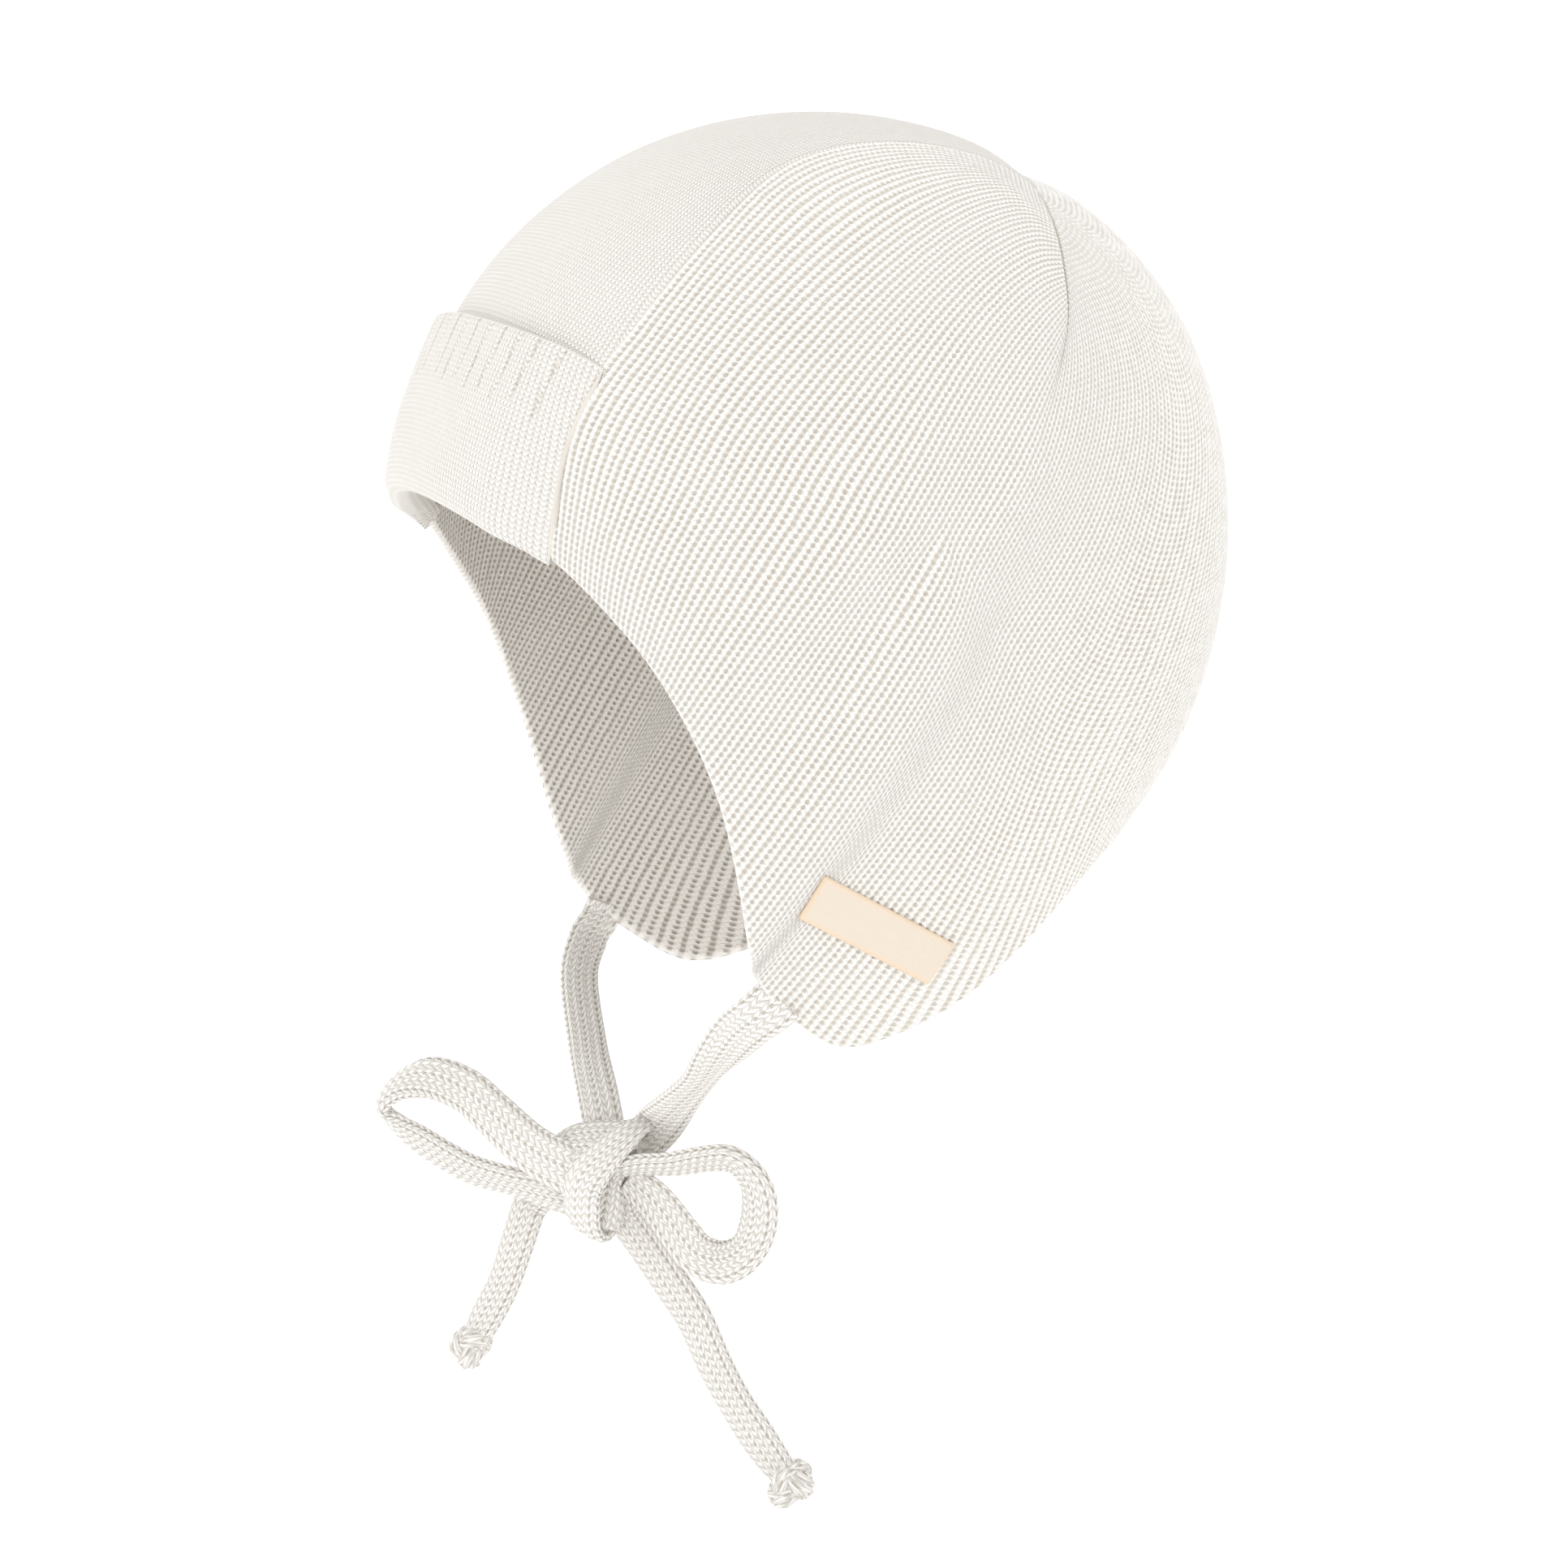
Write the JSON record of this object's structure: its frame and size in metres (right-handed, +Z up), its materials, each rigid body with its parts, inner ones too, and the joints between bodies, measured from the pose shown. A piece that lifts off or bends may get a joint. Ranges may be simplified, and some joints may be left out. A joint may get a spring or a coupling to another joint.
{
  "type": "baby bonnet",
  "caption": "Knitted baby bonnet with ear flaps, a smooth front panel with a turned-up ribbed cuff, and flat knitted ties fastened in a bow under the chin",
  "frame": {"origin": "where the crown of the head touches the inside of the cap, on its middle plane", "axes": "+Z up through the crown, -Y out of the face opening, +X to the wearer's left"},
  "size_m": [0.1272, 0.1618, 0.2629],
  "materials": {
    "rib_knit": "matte off-white rib knit",
    "smooth_knit": "matte off-white smooth knit",
    "tie_knit": "matte off-white knitted tube",
    "label_weave": "matte cream woven tape"
  },
  "bodies": {
    "root": {"rib_cap": "rib_knit", "front_panel": "smooth_knit", "front_cuff": "smooth_knit", "side_label": "label_weave", "tie_lead_left": "tie_knit", "tie_lead_right": "tie_knit", "bow_knot": "tie_knit", "bow_loop_left": "tie_knit", "bow_loop_right": "tie_knit", "tie_tail_left": "tie_knit", "tie_tail_right": "tie_knit", "end_knot_left": "tie_knit", "end_knot_right": "tie_knit"}
  },
  "joints": []
}
